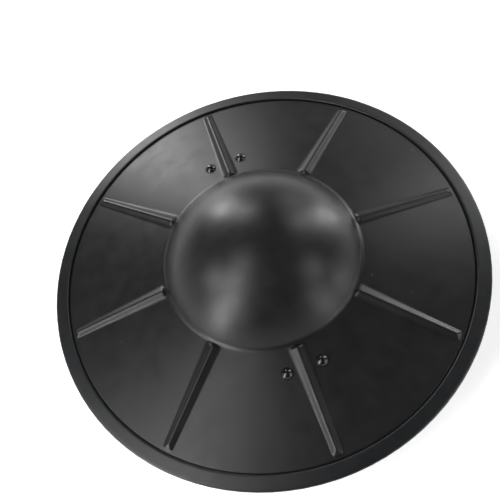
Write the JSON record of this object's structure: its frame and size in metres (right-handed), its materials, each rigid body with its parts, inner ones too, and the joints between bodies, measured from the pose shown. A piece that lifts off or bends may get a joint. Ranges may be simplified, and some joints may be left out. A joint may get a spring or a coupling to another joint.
{
  "type": "buckler",
  "caption": "Small round hand shield of black pressed steel with a domed boss, raised radial ribs, a turned-over rim and a riveted strap handle with wooden grip scales.",
  "frame": {"origin": "on the surface that the buckler lies on, under the centre of the boss; it lies boss up on the face of its grip", "axes": "+Z out of the boss, away from the grip; the grip and its strap run along Y"},
  "size_m": [0.33, 0.33, 0.0979],
  "materials": {
    "painted_steel": "satin black paint over pressed steel, with faint scuffs",
    "grip_wood": "pale straight-grained wood, lightly oiled",
    "rivet_steel": "glossy black painted rivet heads",
    "bright_steel": "bright filed steel pin heads"
  },
  "bodies": {
    "root": {"shield": "painted_steel", "handle_strap": "painted_steel", "grip_scale_outer": "grip_wood", "grip_scale_inner": "grip_wood", "shield_rivet_1": "rivet_steel", "shield_rivet_2": "rivet_steel", "shield_rivet_3": "rivet_steel", "shield_rivet_4": "rivet_steel", "grip_pin_1": "bright_steel", "grip_pin_2": "bright_steel"}
  },
  "joints": []
}
